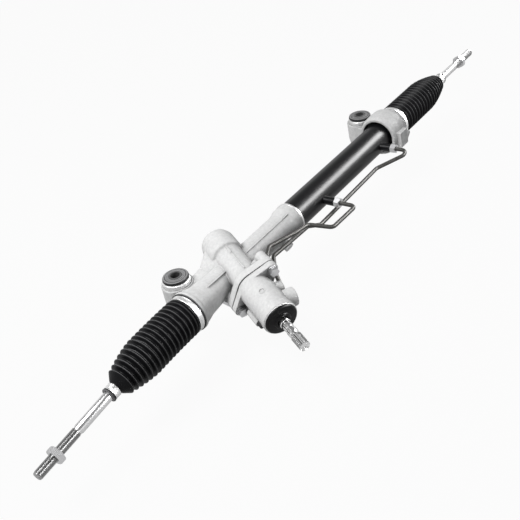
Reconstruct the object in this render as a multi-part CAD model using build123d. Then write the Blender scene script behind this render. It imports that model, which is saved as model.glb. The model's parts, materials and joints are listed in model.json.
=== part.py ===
from build123d import *
from math import cos, sin, tan, pi, radians, sqrt, hypot, atan2, acos
import os

# Hydraulic steering rack, millimetres. +X runs along the rack towards the cylinder end, +Z runs up the
# mounting bushes, and the origin is the centre of the left bush bore. "x" below is always that X.

# ---- layout ----
RACK_Y = -47.0              # rack axis lies at y = RACK_Y, z = 0
BUSH_R_X = 520.0            # right bush axis (left one is at 0, 0)
LIP_L, LIP_R = -33.0, BUSH_R_X + 26   # casting lips that the boots butt against
STROKE = 70.0               # each way from the centred position
SHIFT = 17.0                # the rack is stored this far towards +X from centred
BALL_GAP = 95.0             # lip to ball centre with the rack centred
BALL_L = LIP_L - BALL_GAP + SHIFT
BALL_R = LIP_R + BALL_GAP + SHIFT
DROOP = 7.3                 # degrees, rest angle of the left tie rod

# ---- rack and pinion mesh ----
MODULE, TEETH, PRESSURE = 1.9, 8, 25.0
RACK_ADD, ROOT_CLEAR, PROFILE_SHIFT, BACKLASH = 0.8, 0.2, 0.1, 0.12
RACK_RAD, TOOTH_HALF = 13.5, 9.5     # bar radius, half length of a tooth across the bar
TOOTH_LOW, TOOTH_HIGH = -10, 15      # first and last tooth gap, counted from the pinion
TIP_PLANE = 11.3            # rack axis to tooth tips
PITCH_R = MODULE * TEETH / 2
PIN_OFF = TIP_PLANE - RACK_ADD * MODULE + PITCH_R + PROFILE_SHIFT * MODULE
PIN_X = 69.2                # where the pinion axis crosses over the rack
PIN_YAW, PIN_ROLL = 24.33, 11.19   # degrees, pinion axis from square, and its roll about the rack
N = Vector(-sin(radians(PIN_YAW)), -cos(radians(PIN_YAW)) * cos(radians(PIN_ROLL)),
           -cos(radians(PIN_YAW)) * sin(radians(PIN_ROLL)))
G = Vector(0, -sin(radians(PIN_ROLL)), cos(radians(PIN_ROLL)))
E = G.cross(N)
# The pinion's own frame: x is E, y is G and z is N; a length along N is called t.
PIN = Plane(origin=Vector(PIN_X, RACK_Y, 0) + G * PIN_OFF, x_dir=E, z_dir=N)

# ---- castings ----
SPIGOT, SPIGOT_R, BELL_BORE = 14.0, 26.0, 22.0
TUBE_R, TUBE_BORE = 22.0, 16.5
LIP_RAD = 31.3
COLLAR_X0, COLLAR_X1, COLLAR_R = 199.0, 220.0, 26.0
CYL_R, CYL_BORE, CYL_X0, CYL_X1 = 24.2, 21.2, COLLAR_X1 - 11, BUSH_R_X + 12
BRACKET_X, BRACKET_MOUTH = BUSH_R_X - 23, 29.0
EAR_R, EAR_TOP, EAR_LOW = 24.0, 15.0, -32.0
DOME_R, NECK_R, BLIND_T, SPLIT_T = 26.0, 21.5, -61.0, 60.0   # pinion tower: blind dome, neck, joint face
DECK_TOP, DECK_Y, DECK_W = 13.0, -27.0, 40.0   # deck between the left ear and the rack tube
PARTING, RIDGE_R = 28.0, 1.1         # degrees of the parting line about the rack, and its ridge's radius
TOWER_PARTING, MARK_AT = 98.0, 106.0   # degrees from E: the tower's parting line, the barrel's ejector mark
BOLT_R, BOLT_D = 36.5, 8.0   # flange bolt circle radius, bolt shank diameter
BOLT_AT = BOLT_R * cos(pi / 4)       # the two bolts stand at plus and minus this in both E and G
GUIDE_R, GUIDE_WALL, GUIDE_END, CAP_R = 14.0, 21.0, 46.0, 15.95   # guide bore, boss, its end, cap
LUG_X, LUG_DOWN, LUG_REACH, LUG_THREAD = 172.0, 35.0, 34.0, 3.4   # tapped lug for a line clip

# ---- bushes ----
BUSH_BORE, SLEEVE_R, RUBBER_R, SHELL_R = 7.1, 10.0, 16.0, 17.5
BUSH_TOP, BUSH_LOW, FLANGE_R = 28.0, -38.0, 19.2

# ---- valve and input shaft, along t ----
BARREL_R, BARREL_END = 25.0, 131.0
VALVE_BORE, SLEEVE_OUT, SLEEVE_IN = 17.6, 17.5, 10.95
BEARING_T0, BEARING_T1, BEARING_OUT, BEARING_IN = 34.0, 46.0, 17.5, 10.0
ROLLER_R, ROLLER_PCR, ROLLERS = 2.0, 13.75, 12
FACE, JOURNAL_R, JOURNAL_T = 17.0, 6.0, -44.0   # half length of the pinion's teeth; its lower journal
SHAFT_R, SHAFT_END = 8.0, 195.0
BAR_R, BAR_T0 = 2.9, 12.0   # torsion bar and its lower end
RUN = 0.05                  # radial clearance of a turning or sliding fit

# ---- cylinder ----
PORT_X = (COLLAR_X1 + 64, BUSH_R_X - 52)
PISTON_X, PISTON_W = sum(PORT_X) / 2 + SHIFT, 22.0
RING_W, RING_IN = 5.0, 18.7          # piston ring's width and inner radius
SEAL_W = 8.0                # width of the two rack seals

# ---- tie rods ----
ROD_R, THREAD_R, ROD_LEN = 7.2, 7.0, 222.0
THREAD_LEN, RUN_OUT = 73.0, 0.25     # thread from the rod end, and how much smaller it is behind the nut
BALL_RAD, SEAT_RAD, SOCKET_R = 12.0, 14.0, 18.0
NUT_W, NUT_L, NUT_R = 9.0, ROD_LEN - 34, ROD_LEN - 49   # width, and ball centre to each jam nut's middle
BOOT_R, BOOT_LEN, CUFF = 30.0, 90.0, 15.0   # BOOT_LEN is ball centre to cuff end, CUFF the cuff's length
FOLDS, FOLD_DEPTH = 16, 4.6
RIM_L, RIM_R = 21.0, 18.0    # crest radius where each boot's cone begins
BOOT_WALL, BASE_R = 1.3, 28.4        # skin, and the outside of the big end on its spigot
PIPE_R, PIPE_BEND = 4.0, 9.0
STUB_REACH = 44.0            # cylinder axis to a port stub's end
STAND = (Align.CENTER, Align.CENTER, Align.MIN)


def lathe_x(*pts):
    """Turn an (x, radius) outline about the rack axis."""
    return Pos(0, RACK_Y, 0) * revolve(make_face(Polyline(*pts, close=True)), Axis.X)


def tube_x(x0, x1, ro, ri):
    return lathe_x((x0, ri), (x1, ri), (x1, ro), (x0, ro))


def bar_x(x0, x1, r):
    return lathe_x((x0, 0), (x1, 0), (x1, r), (x0, r))


def lathe_t(*pts):
    """Turn a (radius, t) outline about the pinion axis."""
    return PIN.location * revolve(Plane.XZ * make_face(Polyline(*pts, close=True)), Axis.Z)


def ring_t(t0, t1, ro, ri=0.0):
    return lathe_t((ri, t0), (ro, t0), (ro, t1), (ri, t1))


def lathe_z(x, y, *pts):
    """Turn a (radius, z) outline about a vertical line."""
    return Pos(x, y, 0) * revolve(Plane.XZ * make_face(Polyline(*pts, close=True)), Axis.Z)


def rod_between(a, b, r):
    a, b = Vector(*a), Vector(*b)
    d = b - a
    return Plane(origin=a, z_dir=d).location * Cylinder(r, d.length, align=STAND)


def pin_point(e, g, t):
    return PIN.origin + E * e + G * g + N * t


def rod_t(e, g, t0, t1, r):
    """Cylinder parallel to the pinion axis."""
    return rod_between(pin_point(e, g, t0), pin_point(e, g, t1), r)


def spoke(degrees, t, d0, d1, r):
    """Cylinder square to the pinion axis, from distance d0 to d1, at an angle from E towards G."""
    e, g = cos(radians(degrees)), sin(radians(degrees))
    return rod_between(pin_point(d0 * e, d0 * g, t), pin_point(d1 * e, d1 * g, t), r)


def export(name, shape):
    solids = shape.solids() if hasattr(shape, "solids") else shape
    out = Compound(children=list(solids)) if len(solids) > 1 else solids[0]
    out.label = name
    export_step(out, f"parts/{name}.step")


# ---- castings ----

def flange_plate(t0, t1, r):
    """Oval joint flange with two bolt lobes, square to the pinion axis."""
    lobes = [Pos(k * BOLT_AT, k * BOLT_AT) * Circle(9.5) for k in (1, -1)]
    edges = [edge for sketch in (Circle(r), *lobes) for edge in sketch.edges()]
    return PIN.location * (Pos(0, 0, t0) * extrude(make_hull(edges), t1 - t0))


def flange_bolt_holes(t0, t1, r):
    return [rod_t(k * BOLT_AT, k * BOLT_AT, t0, t1, r) for k in (1, -1)]


def guide_bar(z0, z1, r):
    """Cylinder on the rack guide's axis, which leaves the rack away from the pinion."""
    foot = Vector(PIN_X, RACK_Y, 0)
    return rod_between(foot - G * z0, foot - G * z1, r)


def ear(x):
    """Upright bush boss with a web back to the rack axis."""
    boss = lathe_z(x, 0, (0, EAR_LOW), (EAR_R - 3, EAR_LOW), (EAR_R, EAR_LOW + 18), (EAR_R, EAR_TOP),
                   (0, EAR_TOP))
    web = Pos(x, RACK_Y / 2, -7) * Box(34, -RACK_Y, 30)
    return boss + web


def clip_lug(d0, d1, r):
    """Cylinder on the radial line of the line-clip lug, from distance d0 to d1 off the rack axis."""
    foot, d = Vector(LUG_X, RACK_Y, 0), Vector(0, -cos(radians(LUG_DOWN)), -sin(radians(LUG_DOWN)))
    return rod_between(foot + d * d0, foot + d * d1, r)


def bush_room(x):
    """Bore for the bush shell, and the spot face that clears its flange."""
    face = Pos(x, 0, EAR_TOP) * Cylinder(22.5, 40, align=STAND)
    return [Pos(x, 0, 0) * Cylinder(SHELL_R, 100), face]


def parting_ridge(x0, r0, x1, r1):
    """Low round ridge that the die halves leave along the rack tube."""
    d = Vector(0, -sin(radians(PARTING)), cos(radians(PARTING)))
    return rod_between(Vector(x0, RACK_Y, 0) + d * r0, Vector(x1, RACK_Y, 0) + d * r1, RIDGE_R)


def tower_ridge(t0, t1, r):
    """The same parting line on the pinion neck."""
    a = radians(TOWER_PARTING)
    return rod_t(NECK_R * cos(a), NECK_R * sin(a), t0, t1, r)


def bolt_bosses(t0, t1):
    """Tapped bosses behind the flange lobes, each tied to the neck by a web."""
    out = []
    for k in (1, -1):
        e = k * BOLT_AT
        web = PIN.location * Pos(e / 2, e / 2, (t0 + t1) / 2) * Rot(0, 0, 45) * Box(BOLT_R, 9, t1 - t0)
        out += [rod_t(e, e, t0, t1, 8.5), web]
    return out


def deck():
    """Flat deck from the left ear along the rack tube, rising as a gusset against the pinion tower."""
    low, high = DECK_TOP - 28, DECK_TOP
    side = Polyline((-10, low), (PIN_X + 10, low), (PIN_X + 10, high + 24), (PIN_X - 3, high + 24),
                    (PIN_X - 27, high), (-10, high), close=True)
    block = Pos(0, DECK_Y, 0) * extrude(Plane.XZ * make_face(side), DECK_W / 2, both=True)
    return block & Pos(PIN_X / 2, DECK_Y, 0) * Rot(0, 0, 8) * Box(PIN_X + 40, DECK_W - 2, 120)


def housing_ridges():
    """Parting ridges: two along the tube, and one on the tower with an ejector pad."""
    return [parting_ridge(LIP_L + 34, 24.7, LIP_L + 76, 22.6),
            parting_ridge(LIP_L + 118, TUBE_R, COLLAR_X0 - 12, TUBE_R),
            tower_ridge(-14, 42, RIDGE_R), tower_ridge(-6, 3, 2.4)]


def rack_housing():
    """Main casting: rack tube, blind pinion tower, guide boss, left ear and the half of the joint flange."""
    outer = lathe_x((LIP_L - SPIGOT, 0), (LIP_L - SPIGOT, SPIGOT_R), (LIP_L, SPIGOT_R), (LIP_L, LIP_RAD),
                    (LIP_L + 4, LIP_RAD), (LIP_L + 7, 29.5), (LIP_L + 13, 28.4), (LIP_L + 24, 25.6),
                    (LIP_L + 50, 23.2), (LIP_L + 90, TUBE_R), (COLLAR_X0 - 10, TUBE_R),
                    (COLLAR_X0, COLLAR_R - 1.5), (COLLAR_X0 + 4, COLLAR_R), (COLLAR_X1, COLLAR_R),
                    (COLLAR_X1, 0))
    tower = lathe_t((0, SPLIT_T), (NECK_R + 2, SPLIT_T), (NECK_R, SPLIT_T - 20), (NECK_R, -13),
                    (DOME_R - 1, -16), (DOME_R, -20), (DOME_R, BLIND_T + 16), (DOME_R - 3, BLIND_T + 7),
                    (DOME_R - 10, BLIND_T + 1.5), (DOME_R - 15, BLIND_T), (0, BLIND_T))
    body = outer + tower + flange_plate(SPLIT_T - 12, SPLIT_T, DOME_R) + ear(0) + deck()
    body += clip_lug(16, LUG_REACH, 8)
    strut = rod_between(pin_point(-BOLT_AT, -BOLT_AT, SPLIT_T - 12), (40, RACK_Y, -4), 5)
    body += bolt_bosses(SPLIT_T - 26, SPLIT_T - 2) + [strut]
    body += guide_bar(8, GUIDE_END, GUIDE_WALL)
    body += housing_ridges()
    body -= [bar_x(LIP_L - SPIGOT - 1, LIP_L + 8, BELL_BORE), bar_x(LIP_L, CYL_X0, TUBE_BORE),
             bar_x(CYL_X0, COLLAR_X1 + 1, CYL_R)]
    body -= [ring_t(BEARING_T0, SPLIT_T + 1, BEARING_OUT), ring_t(-24, BEARING_T0, 14), ring_t(-50, -24, 9),
             ring_t(SPLIT_T - 2, SPLIT_T, 24.6, 22.8)]
    body -= [guide_bar(8, GUIDE_END + 1, GUIDE_R), guide_bar(33, GUIDE_END + 1, 16)]
    body -= flange_bolt_holes(SPLIT_T - 22, SPLIT_T + 1, BOLT_D / 2)
    body -= bush_room(0) + [clip_lug(LUG_REACH - 12, LUG_REACH + 1, LUG_THREAD)]
    return body


# The valve's ports: degrees from E, t, boss radius, reach from the pinion axis, radius of the tapped hole.
PORTS = {"return": (0, 83, 10.5, 33, 6.2), "pressure": (0, 107, 14.0, 38, 7.2),
         "long_pipe": (-40, 72, 8.5, 34, 5.0), "short_pipe": (-80, 72, 8.5, 34, 5.0)}
PORT_DEPTH, OIL_R = 13.0, 2.4        # depth of a tapped port, radius of the drilling behind it
PLUG = (-16.2, -25.2)        # E, G of the plugged drilling


def valve_housing():
    """Valve barrel with its port bosses, the plugged drilling and the other half of the joint flange."""
    barrel = lathe_t((0, SPLIT_T), (BARREL_R, SPLIT_T), (BARREL_R, BARREL_END - 8),
                     (BARREL_R + 1.2, BARREL_END - 5), (BARREL_R + 1.2, BARREL_END + 3),
                     (BARREL_R - 0.4, BARREL_END + 3),
                     (BARREL_R - 0.4, BARREL_END), (0, BARREL_END))
    body = barrel + flange_plate(SPLIT_T, SPLIT_T + 10, BARREL_R)
    body += [spoke(a, t, 12, reach, r) for a, t, r, reach, _ in PORTS.values()]
    body += rod_t(*PLUG, 79, 106, 6.5)
    body -= [ring_t(SPLIT_T - 1, 112, VALVE_BORE), ring_t(112, 122, 13), ring_t(122, BARREL_END + 4, 15)]
    for a, t, _, reach, hole in PORTS.values():
        body -= [spoke(a, t, reach - PORT_DEPTH, reach + 1, hole), spoke(a, t, 10, reach, OIL_R)]
    body -= flange_bolt_holes(SPLIT_T - 1, SPLIT_T + 11, BOLT_D / 2 + 0.3)
    body -= [rod_t(*PLUG, 98, 107, 3.5), spoke(MARK_AT, 97, BARREL_R - 0.7, BARREL_R + 15, 4.2)]
    return body


def end_bracket():
    """Right casting: it takes the cylinder's end, the right bush and the right boot."""
    x = BRACKET_X
    outer = lathe_x((x, 0), (x, 33.5), (x + 6, 36), (x + 22, 37.5), (x + 38, 36.5), (LIP_R - 3, 33),
                    (LIP_R, LIP_RAD), (LIP_R, SPIGOT_R), (LIP_R + SPIGOT, SPIGOT_R), (LIP_R + SPIGOT, 0))
    foot = Pos(x + 20, RACK_Y - 31, -5) * Box(24, 24, 28)
    web = Pos(x + 12, RACK_Y / 2, -8) * Box(24, -RACK_Y + 6, 40)
    lug = rod_between((x + 30, RACK_Y - 38, -9), (LIP_R - 1, RACK_Y - 32, -9), 6)
    body = outer + ear(BUSH_R_X) + foot + web + lug
    mouth = lathe_x((x - 1, 0), (x - 1, BRACKET_MOUTH), (x + 14, BRACKET_MOUTH), (x + 18, CYL_R),
                    (CYL_X1, CYL_R), (CYL_X1, 0))
    body -= [mouth, bar_x(CYL_X1 - 1, LIP_R + SPIGOT + 1, BELL_BORE)] + bush_room(BUSH_R_X)
    return body


def cylinder_tube():
    body = tube_x(CYL_X0, CYL_X1, CYL_R, CYL_BORE)
    body -= [rod_between((x, RACK_Y - 15, 0), (x, RACK_Y - 30, 0), OIL_R) for x in PORT_X]
    return body


def port_stub(x):
    """Steel stub welded on the tube for a flare nut."""
    stub = rod_between((x, RACK_Y - CYL_R + 1.2, 0), (x, RACK_Y - STUB_REACH, 0), 7)
    stub -= [bar_x(x - 20, x + 20, CYL_R), rod_between((x, RACK_Y - 34, 0), (x, RACK_Y - 45, 0), 5),
             rod_between((x, RACK_Y - 20, 0), (x, RACK_Y - 40, 0), OIL_R)]
    return stub


# ---- bushes ----

def bush_rubber(x):
    low, top = BUSH_LOW + 0.8, BUSH_TOP - 0.8
    return lathe_z(x, 0, (SLEEVE_R, low), (FLANGE_R - 3, low), (FLANGE_R - 1, low + 2),
                   (FLANGE_R - 1, EAR_LOW - 0.2), (RUBBER_R, EAR_LOW), (RUBBER_R, EAR_TOP + 3),
                   (FLANGE_R - 1, EAR_TOP + 3), (FLANGE_R, EAR_TOP + 5), (FLANGE_R, top - 2),
                   (FLANGE_R - 1.5, top), (SLEEVE_R, top))


def bush_shell(x):
    return lathe_z(x, 0, (RUBBER_R, EAR_LOW + 8), (SHELL_R, EAR_LOW + 8), (SHELL_R, EAR_TOP),
                   (FLANGE_R + 1.2, EAR_TOP), (FLANGE_R + 1.2, EAR_TOP + 2.5), (RUBBER_R, EAR_TOP + 2.5))


def bush_sleeve(x):
    return lathe_z(x, 0, (BUSH_BORE, BUSH_LOW), (SLEEVE_R, BUSH_LOW), (SLEEVE_R, BUSH_TOP),
                   (BUSH_BORE, BUSH_TOP))


# ---- pinion and valve ----

def pinion_outline():
    """Involute spur outline with a tooth towards -y, as points."""
    angle, steps = radians(PRESSURE), 5
    rb = PITCH_R * cos(angle)
    root = PITCH_R + (PROFILE_SHIFT - RACK_ADD - ROOT_CLEAR) * MODULE
    tip = PITCH_R + (PROFILE_SHIFT + RACK_ADD) * MODULE
    half = (MODULE * (pi / 2 + 2 * PROFILE_SHIFT * tan(angle)) - BACKLASH) / (2 * PITCH_R)
    base = half + tan(angle) - angle
    flank = [(root, base)]
    for k in range(steps + 1):
        r = rb + (tip - rb) * k / steps
        roll = acos(min(1.0, rb / r))
        flank.append((r, base - tan(roll) + roll))
    points = []
    for tooth in range(TEETH):
        mid = -pi / 2 + 2 * pi * tooth / TEETH
        side = [(r, mid - a) for r, a in flank] + [(r, mid + a) for r, a in reversed(flank)]
        points += [(r * cos(a), r * sin(a)) for r, a in side]
    return points


def pinion():
    """Spur-cut pinion with its journals, bored for the torsion bar and the foot of the input shaft."""
    gear = Pos(0, 0, -FACE) * extrude(make_face(Polyline(*pinion_outline(), close=True)), 2 * FACE)
    body = PIN.location * gear + ring_t(JOURNAL_T, -FACE, JOURNAL_R)
    body += ring_t(FACE, BEARING_T0, BEARING_IN - 0.1)
    body += ring_t(BEARING_T0, BEARING_T1, BEARING_IN) + ring_t(BEARING_T1, SPLIT_T, 14)
    body -= [ring_t(BAR_T0, 50, BAR_R), ring_t(50, SPLIT_T + 1, SHAFT_R + RUN), cross_pin()]
    return body


def cross_pin():
    """Pin that fixes the torsion bar in the pinion."""
    return rod_between(pin_point(-9.8, 0, 25), pin_point(9.8, 0, 25), 1.5)


def torsion_bar():
    return ring_t(BAR_T0, 186, BAR_R) - cross_pin()


SEAL_RINGS = (66.0, 78.0, 95.0, 104.0)


def valve_sleeve():
    body = ring_t(SPLIT_T, 110, SLEEVE_OUT, SLEEVE_IN)
    body -= [ring_t(t, t + 2, SLEEVE_OUT + 1, SLEEVE_OUT - 1.5) for t in SEAL_RINGS]
    return body


def sleeve_rings():
    return Compound(children=[ring_t(t, t + 2, SLEEVE_OUT + 0.03, SLEEVE_OUT - 1.5) for t in SEAL_RINGS])


def input_shaft():
    """Input shaft with its valve land, a snap-ring neck and the clamp bolt's groove below the splined end."""
    land = SLEEVE_IN - RUN
    return lathe_t((BAR_R + RUN, 50.5), (SHAFT_R, 50.5), (SHAFT_R, 60.3), (land, 60.3), (land, 111.5),
                   (SHAFT_R, 111.5), (SHAFT_R, 157), (SHAFT_R - 1.6, 158), (SHAFT_R - 1.6, 161),
                   (SHAFT_R, 162), (SHAFT_R, 168), (SHAFT_R - 1.8, 169.5), (SHAFT_R - 1.8, 172.5),
                   (SHAFT_R, 174), (SHAFT_R, SHAFT_END - 2), (SHAFT_R - 2, SHAFT_END), (0, SHAFT_END),
                   (0, 188), (BAR_R + RUN, 188))


def bearing_outer():
    """Flanged outer ring; the rollers run between its lips."""
    lips = [ring_t(BEARING_T0, BEARING_T0 + 1.8, BEARING_OUT, ROLLER_PCR + 0.6),
            ring_t(BEARING_T1 - 1.8, BEARING_T1, BEARING_OUT, ROLLER_PCR + 0.6)]
    return ring_t(BEARING_T0, BEARING_T1, BEARING_OUT, ROLLER_PCR + ROLLER_R + RUN) + lips


def bearing_inner():
    return ring_t(BEARING_T0, BEARING_T1, ROLLER_PCR - ROLLER_R - RUN, BEARING_IN)


def bearing_rollers():
    turns = [2 * pi * k / ROLLERS for k in range(ROLLERS)]
    centres = [(ROLLER_PCR * cos(a), ROLLER_PCR * sin(a)) for a in turns]
    return Compound(children=[rod_t(e, g, BEARING_T0 + 2, BEARING_T1 - 2, ROLLER_R) for e, g in centres])


def dust_cover():
    t = BARREL_END
    return lathe_t((SHAFT_R + 0.3, t), (BARREL_R - 0.6, t), (BARREL_R - 0.6, t + 6), (BARREL_R - 2.4, t + 8),
                   (13, t + 8.6), (12, t + 10.5), (9.5, t + 11), (SHAFT_R + 0.3, t + 10))


# ---- rack ----

def rack_bar():
    """Round bar with teeth cut parallel to the pinion axis."""
    pitch, datum = pi * MODULE, TIP_PLANE - RACK_ADD * MODULE
    slope = tan(radians(PRESSURE))
    low = datum - (RACK_ADD + ROOT_CLEAR) * MODULE
    wide, thin = pitch / 4 + RACK_ADD * MODULE * slope, pitch / 4 - (RACK_ADD + ROOT_CLEAR) * MODULE * slope
    reach = TOOTH_HIGH * pitch * tan(radians(PIN_YAW)) + 2 * RACK_RAD
    points = [(TOOTH_LOW * pitch - wide, 20.0)]
    for k in range(TOOTH_LOW, TOOTH_HIGH + 1):
        points += [(k * pitch - wide, TIP_PLANE), (k * pitch - thin, low), (k * pitch + thin, low),
                   (k * pitch + wide, TIP_PLANE)]
    points.append((TOOTH_HIGH * pitch + wide, 20.0))
    comb = extrude(make_face(Polyline(*points, close=True)), reach, both=True)
    frame = Plane(origin=(PIN_X, RACK_Y, 0), x_dir=E, z_dir=N)
    yaw = radians(PIN_YAW)
    first, last = (TOOTH_LOW * pitch - wide) / cos(yaw), (TOOTH_HIGH * pitch + wide) / cos(yaw)
    shoulder = (RACK_RAD - TOOTH_HALF) / 2 + 2
    length = last - first + 2 * (TOOTH_HALF * tan(yaw) + 0.3)
    top = Plane(origin=(PIN_X, RACK_Y, 0), x_dir=(1, 0, 0), z_dir=G).location
    middle = Vector((first + last) / 2, 0, low + 9)
    sides = [top * Pos(middle + Vector(0, k * (TOOTH_HALF + shoulder), 0)) * Box(length, 2 * shoulder, 20)
             for k in (1, -1)]
    body = bar_x(BALL_L + 24.5, BALL_R - 24.5, RACK_RAD) - sides - frame.location * comb
    body -= [bar_x(BALL_L + 20, BALL_L + 46, 8), bar_x(BALL_R - 46, BALL_R - 20, 8)]
    return body


def piston():
    x, w = PISTON_X, PISTON_W
    body = tube_x(x - w / 2, x + w / 2, CYL_BORE - RUN, RACK_RAD)
    return body - tube_x(x - RING_W / 2, x + RING_W / 2, CYL_BORE + 1, RING_IN)


def rack_guide():
    """Yoke pressed against the back of the rack."""
    body = guide_bar(2, 29, GUIDE_R - RUN) - bar_x(PIN_X - 20, PIN_X + 20, RACK_RAD + 0.02)
    return body - guide_bar(22, 30, 8)


def guide_place(distance):
    """Location on the rack guide's axis, z away from the rack."""
    return Plane(origin=Vector(PIN_X, RACK_Y, 0) - G * distance, z_dir=-G).location


def guide_springs():
    """Two opposed cone washers under the cap."""
    lower = Polyline((9, 29.1), (13, 30.9), (13, 31.7), (9, 29.9), close=True)
    upper = Polyline((9, 34.2), (13, 32.4), (13, 31.8), (9, 33.5), close=True)
    return Compound(children=[guide_place(0) * revolve(Plane.XZ * make_face(edge), Axis.Z)
                              for edge in (lower, upper)])


def guide_cap():
    return guide_bar(34.3, 55, CAP_R) - guide_place(48) * extrude(RegularPolygon(9, 6), 10)


def guide_nut():
    return guide_place(GUIDE_END) * extrude(RegularPolygon(25, 6) - Circle(CAP_R + 0.02), 6.5)


# ---- ball joints and tie rods, drawn along +x from a ball at the origin, then placed ----

def place(side, tilt=0.0):
    """Location of one side's ball frame: side is -1 left, 1 right."""
    ball = BALL_L if side < 0 else BALL_R
    turn = Rot(0, 0, 180) if side < 0 else Rot(0, 0, 0)
    return Pos(ball, RACK_Y, 0) * turn * Rot(0, tilt, 0)


def lathe(*pts):
    return revolve(make_face(Polyline(*pts, close=True)), Axis.X)


def barrel(r):
    """Near-sphere of cones about the upright axis, so that the seat can turn in the socket."""
    steps = 8
    arc = [(r * cos(a), r * sin(a)) for a in (-pi / 2 + pi * k / steps for k in range(steps + 1))]
    return revolve(Plane.XZ * make_face(Polyline(*[(max(x, 0), z) for x, z in arc], close=True)), Axis.Z)


def socket():
    """Socket body that screws into the rack's end and holds the seat."""
    body = lathe((-42, 0), (-42, 7.9), (-22, 7.9), (-22, SOCKET_R), (2, SOCKET_R), (8, 15.5), (8, 0))
    return body - barrel(SEAT_RAD + 0.3)


def ball_seat():
    return barrel(SEAT_RAD) - Sphere(BALL_RAD + 0.03) - Pos(15, 0, 0) * Box(20, 40, 40)


def lock_washer():
    return lathe((-24.5, 8), (-22, 8), (-22, 19.5), (-24.5, 19.5))


def tie_rod(nut):
    """Ball, neck, shank with the cuff groove, and the thread that the jam nut runs on."""
    groove, thread, free = BOOT_LEN - CUFF, ROD_LEN - THREAD_LEN, nut + NUT_W / 2 + 2.5
    rod = lathe((9, 0), (9, 6.5), (22, 6.5), (26, ROD_R), (groove - 1, ROD_R), (groove - 0.6, 6.8),
                (BOOT_LEN + 0.6, 6.8), (BOOT_LEN + 1, ROD_R), (thread - 1, ROD_R),
                (thread, THREAD_R - RUN_OUT), (free, THREAD_R - RUN_OUT), (free, THREAD_R),
                (ROD_LEN - 2, THREAD_R), (ROD_LEN, THREAD_R - 1.6), (ROD_LEN, 0))
    return rod + Sphere(BALL_RAD)


def jam_nut(centre):
    w = NUT_W / 2
    nut = Rot(0, 90, 0) * extrude(RegularPolygon(22 / sqrt(3), 6), NUT_W, both=True)
    nut = nut & lathe((-w, 0), (-w, 11.6), (-w + 1.3, 12.8), (w - 1.3, 12.8), (w, 11.6), (w, 0))
    return Pos(centre, 0, 0) * (nut - Rot(0, 90, 0) * Cylinder(THREAD_R + 0.02, 40))


# ---- boots and clamps ----

def bellows(length, rim):
    """Half outline (distance, radius) of a bellows whose last folds draw in to a rim, then a cone."""
    plain = 3.5
    step = (length - 10 - plain) / FOLDS
    taper = 6 * step
    points = [(-1.0, BOOT_R - 2.6), (plain, BOOT_R - 1.6)]
    for k in range(FOLDS):
        crest = plain + step * (k + 1)
        pull = max(0.0, 1 - (length - 10 - crest) / taper) ** 1.5
        r = BOOT_R - (BOOT_R - rim) * pull
        points += [(crest - 0.55 * step, r - FOLD_DEPTH), (crest, r)]
    return points


def boot(side):
    """Closed bellows from the housing spigot to the groove in the tie rod."""
    tilt = DROOP if side < 0 else 0.0
    lip = LIP_L if side < 0 else LIP_R
    ball = BALL_L if side < 0 else BALL_R
    start = Vector(lip + side * SPIGOT, RACK_Y, 0)
    reach = BOOT_LEN - CUFF
    span = Vector(ball + side * reach * cos(radians(tilt)), RACK_Y, -reach * sin(radians(tilt))) - start
    turn = Rot(0, 0, 180) if side < 0 else Rot(0, 0, 0)
    outer = bellows(span.length, RIM_L if side < 0 else RIM_R)
    tip = [(span.length - 1, 11.0), (span.length + 1, 9.8)]
    inner = [(span.length + 1, 7.4), (span.length - 4, 7.9)]
    inner += [(x - 1, r - BOOT_WALL) for x, r in reversed(outer[2:])]
    inner += [(2.5, SPIGOT_R + 0.4), (-1.0, SPIGOT_R + 0.4)]
    skin = Pos(start) * turn * Rot(0, degrees_down(span), 0) * lathe(*outer, *tip, *inner)
    base = turn * lathe((-SPIGOT + 0.8, SPIGOT_R + RUN), (1.5, SPIGOT_R + RUN), (1.5, BOOT_R - 2.2),
                        (-3, BASE_R), (-SPIGOT + 0.8, BASE_R))
    collar = place(side, tilt) * lathe((reach - 1, 6.85), (BOOT_LEN, 6.85), (BOOT_LEN, 9.6), (reach - 1, 9.6))
    rod = place(side, tilt) * lathe((50, 0), (50, 7.4), (reach + 0.3, 7.4), (reach + 0.3, 6.85),
                                    (BOOT_LEN + 5, 6.85), (BOOT_LEN + 5, 0))
    return (skin + Pos(start) * base + collar) - rod


def degrees_down(v):
    return atan2(-v.Z, hypot(v.X, v.Y)) * 180 / pi


def big_clamp(side):
    lip = LIP_L if side < 0 else LIP_R
    a, b = sorted((lip + side * 2.5, lip + side * 11))
    return tube_x(a, b, BASE_R + 1.2, BASE_R + RUN)


def small_clamp(side):
    a, b = BOOT_LEN - CUFF + 2.5, BOOT_LEN - 2.5
    band = lathe((a, 9.85), (b, 9.85), (b, 10.7), (a, 10.7))
    tab = Pos((a + b) / 2, 0, 12.2) * Box(5, 1.6, 4.5)
    return place(side, DROOP if side < 0 else 0) * (band + tab)


# ---- pipes ----

def pipe(points, bend):
    path = FilletPolyline(*points, radius=bend)
    return sweep(Plane(origin=path @ 0, z_dir=path % 0) * Circle(PIPE_R), path=path)


def port_line(name, *distances):
    a, t = radians(PORTS[name][0]), PORTS[name][1]
    return [tuple(pin_point(d * cos(a), d * sin(a), t)) for d in distances]


def short_pipe():
    """Line from the near cylinder port along the clip lug and under the tower to the valve."""
    y, pin = RACK_Y, PIN_X
    return pipe([(PORT_X[0], y - 36, 0), (PORT_X[0], y - 81, 0), (COLLAR_X1 - 1, y - 80, 1),
                 (COLLAR_X0 + 5, y - 45, 7.5), (LUG_X + 4, y - 44, 12), (pin + 55, y - 30, 15.5),
                 (pin + 35, y - 39, 13), (pin + 21, y - 50, -16), (pin + 11, y - 53, -64)]
                + port_line("short_pipe", 72, 25), PIPE_BEND)


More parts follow.
